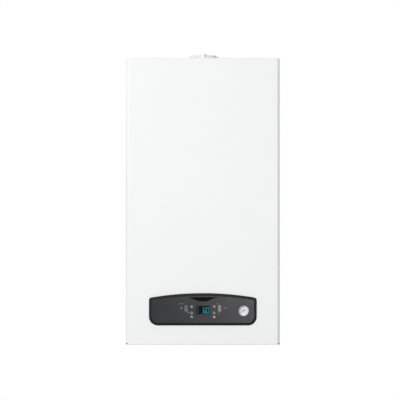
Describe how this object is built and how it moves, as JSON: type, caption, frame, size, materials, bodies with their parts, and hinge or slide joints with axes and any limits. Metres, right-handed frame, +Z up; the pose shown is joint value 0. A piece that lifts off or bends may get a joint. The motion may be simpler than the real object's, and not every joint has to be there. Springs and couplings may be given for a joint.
{
  "type": "wall-hung combi boiler",
  "caption": "Wall-hung gas combi boiler with lift-off white front casing, tilting dark control panel, sealed inner works and a concentric flue collar.",
  "frame": {"origin": "centre of the wall bracket's bolt line, on the wall plane", "axes": "+X to the right seen from the front, +Y into the wall, +Z up"},
  "size_m": [0.4, 0.326, 0.7648],
  "materials": {
    "wall_bracket": "zinc plated",
    "back_frame": "zinc plated",
    "top_panel": "satin powder coat",
    "bottom_plate": "zinc plated",
    "left_side_panel": "satin powder coat",
    "right_side_panel": "satin powder coat",
    "front_casing": "satin powder coat",
    "casing_gasket": "soft closed-cell seal",
    "casing_fasteners": "plain",
    "control_fascia": "fine grain",
    "control_box": "moulded",
    "fascia_badge": "gloss",
    "display_window": "clear",
    "display_module": "dark display",
    "control_board": "circuit board",
    "on_off_button": "satin",
    "mode_button": "satin",
    "water_plus_button": "satin",
    "water_minus_button": "satin",
    "heating_plus_button": "satin",
    "heating_minus_button": "satin",
    "reset_button": "satin",
    "gauge_case": "moulded",
    "gauge_dial": "printed dial",
    "gauge_needle": "satin",
    "gauge_lens": "clear",
    "flue_collar": "moulded",
    "test_point_caps": "moulded",
    "flue_duct": "heat resisting plastic",
    "heat_exchanger_shell": "stainless",
    "heat_exchanger_coil": "stainless",
    "burner": "perforated stainless",
    "burner_door": "as cast",
    "door_nuts": "plain",
    "mixer_manifold": "as cast",
    "fan_housing": "as cast",
    "fan_motor": "moulded",
    "fan_impeller": "moulded",
    "venturi": "as cast",
    "intake_silencer": "moulded",
    "ignition_electrode": "glazed",
    "ignition_transformer": "potted",
    "ignition_lead": "silicone",
    "gas_valve": "die cast",
    "gas_pipes": "plated tube",
    "expansion_vessel": "gloss paint",
    "flow_block": "glass-filled plastic",
    "return_block": "glass-filled plastic",
    "pump_motor": "painted",
    "pump_impeller": "moulded",
    "plate_exchanger": "brazed stainless",
    "water_pipes": "copper tube",
    "diverter_actuator": "moulded",
    "diverter_spindle": "plain",
    "relief_valve": "machined",
    "relief_knob": "moulded",
    "fill_tap": "moulded",
    "condensate_trap": "translucent moulding",
    "condensate_hose": "smooth hose",
    "cable_gland": "moulded"
  },
  "bodies": {
    "frame": {"wall_bracket": "wall_bracket", "back_frame": "back_frame", "top_panel": "top_panel", "bottom_plate": "bottom_plate", "left_side_panel": "left_side_panel", "right_side_panel": "right_side_panel", "flue_collar": "flue_collar", "test_point_caps": "test_point_caps", "flue_duct": "flue_duct", "heat_exchanger_shell": "heat_exchanger_shell", "heat_exchanger_coil": "heat_exchanger_coil", "burner": "burner", "burner_door": "burner_door", "door_nuts": "door_nuts", "mixer_manifold": "mixer_manifold", "fan_housing": "fan_housing", "fan_motor": "fan_motor", "venturi": "venturi", "intake_silencer": "intake_silencer", "ignition_electrode": "ignition_electrode", "ignition_transformer": "ignition_transformer", "ignition_lead": "ignition_lead", "gas_valve": "gas_valve", "gas_pipes": "gas_pipes", "expansion_vessel": "expansion_vessel", "flow_block": "flow_block", "return_block": "return_block", "pump_motor": "pump_motor", "plate_exchanger": "plate_exchanger", "water_pipes": "water_pipes", "diverter_actuator": "diverter_actuator", "relief_valve": "relief_valve", "condensate_trap": "condensate_trap", "condensate_hose": "condensate_hose", "cable_gland": "cable_gland"},
    "front_casing": {"front_casing": "front_casing", "casing_gasket": "casing_gasket", "casing_fasteners": "casing_fasteners"},
    "control_panel": {"control_fascia": "control_fascia", "control_box": "control_box", "fascia_badge": "fascia_badge", "display_window": "display_window", "display_module": "display_module", "control_board": "control_board", "gauge_case": "gauge_case", "gauge_dial": "gauge_dial", "gauge_lens": "gauge_lens"},
    "on_off_button": {"on_off_button": "on_off_button"},
    "mode_button": {"mode_button": "mode_button"},
    "water_plus_button": {"water_plus_button": "water_plus_button"},
    "water_minus_button": {"water_minus_button": "water_minus_button"},
    "heating_plus_button": {"heating_plus_button": "heating_plus_button"},
    "heating_minus_button": {"heating_minus_button": "heating_minus_button"},
    "reset_button": {"reset_button": "reset_button"},
    "gauge_needle": {"gauge_needle": "gauge_needle"},
    "fan_impeller": {"fan_impeller": "fan_impeller"},
    "pump_impeller": {"pump_impeller": "pump_impeller"},
    "diverter_spindle": {"diverter_spindle": "diverter_spindle"},
    "relief_knob": {"relief_knob": "relief_knob"},
    "fill_tap": {"fill_tap": "fill_tap"}
  },
  "joints": [
    {"name": "casing_lift_off", "type": "slide", "parent": "frame", "child": "front_casing", "axis": [0, -1, 0], "range_m": [0, 0.38]},
    {"name": "panel_tilt", "type": "hinge", "parent": "frame", "child": "control_panel", "pos_m": [0, -0.313, -0.6607], "axis": [1, 0, 0], "range_deg": [0, 80]},
    {"name": "on_off_press", "type": "slide", "parent": "control_panel", "child": "on_off_button", "axis": [0, 1, 0], "range_m": [0, 0.0008], "stiffness_N_per_m": 400, "springref_m": -0.0008},
    {"name": "mode_press", "type": "slide", "parent": "control_panel", "child": "mode_button", "axis": [0, 1, 0], "range_m": [0, 0.0008], "stiffness_N_per_m": 400, "springref_m": -0.0008},
    {"name": "water_plus_press", "type": "slide", "parent": "control_panel", "child": "water_plus_button", "axis": [0, 1, 0], "range_m": [0, 0.0008], "stiffness_N_per_m": 400, "springref_m": -0.0008},
    {"name": "water_minus_press", "type": "slide", "parent": "control_panel", "child": "water_minus_button", "axis": [0, 1, 0], "range_m": [0, 0.0008], "stiffness_N_per_m": 400, "springref_m": -0.0008},
    {"name": "heating_plus_press", "type": "slide", "parent": "control_panel", "child": "heating_plus_button", "axis": [0, 1, 0], "range_m": [0, 0.0008], "stiffness_N_per_m": 400, "springref_m": -0.0008},
    {"name": "heating_minus_press", "type": "slide", "parent": "control_panel", "child": "heating_minus_button", "axis": [0, 1, 0], "range_m": [0, 0.0008], "stiffness_N_per_m": 400, "springref_m": -0.0008},
    {"name": "reset_press", "type": "slide", "parent": "control_panel", "child": "reset_button", "axis": [0, 1, 0], "range_m": [0, 0.0008], "stiffness_N_per_m": 400, "springref_m": -0.0008},
    {"name": "needle_swing", "type": "hinge", "parent": "control_panel", "child": "gauge_needle", "pos_m": [0.1056, -0.32, -0.6163], "axis": [0, 1, 0], "range_deg": [-14, 256]},
    {"name": "fan_spin", "type": "hinge", "parent": "frame", "child": "fan_impeller", "pos_m": [-0.042, -0.255, -0.05], "axis": [0, -1, 0], "continuous": true},
    {"name": "pump_spin", "type": "hinge", "parent": "frame", "child": "pump_impeller", "pos_m": [0.13, -0.15, -0.565], "axis": [0, -1, 0], "continuous": true},
    {"name": "diverter_stroke", "type": "slide", "parent": "frame", "child": "diverter_spindle", "axis": [0, 1, 0], "range_m": [0, 0.006]},
    {"name": "relief_turn", "type": "hinge", "parent": "frame", "child": "relief_knob", "pos_m": [-0.13, -0.095, -0.49], "axis": [0, 0, 1], "range_deg": [0, 90]},
    {"name": "fill_turn", "type": "hinge", "parent": "frame", "child": "fill_tap", "pos_m": [0.0975, -0.12, -0.6835], "axis": [0, -1, 0], "range_deg": [0, 270]}
  ]
}
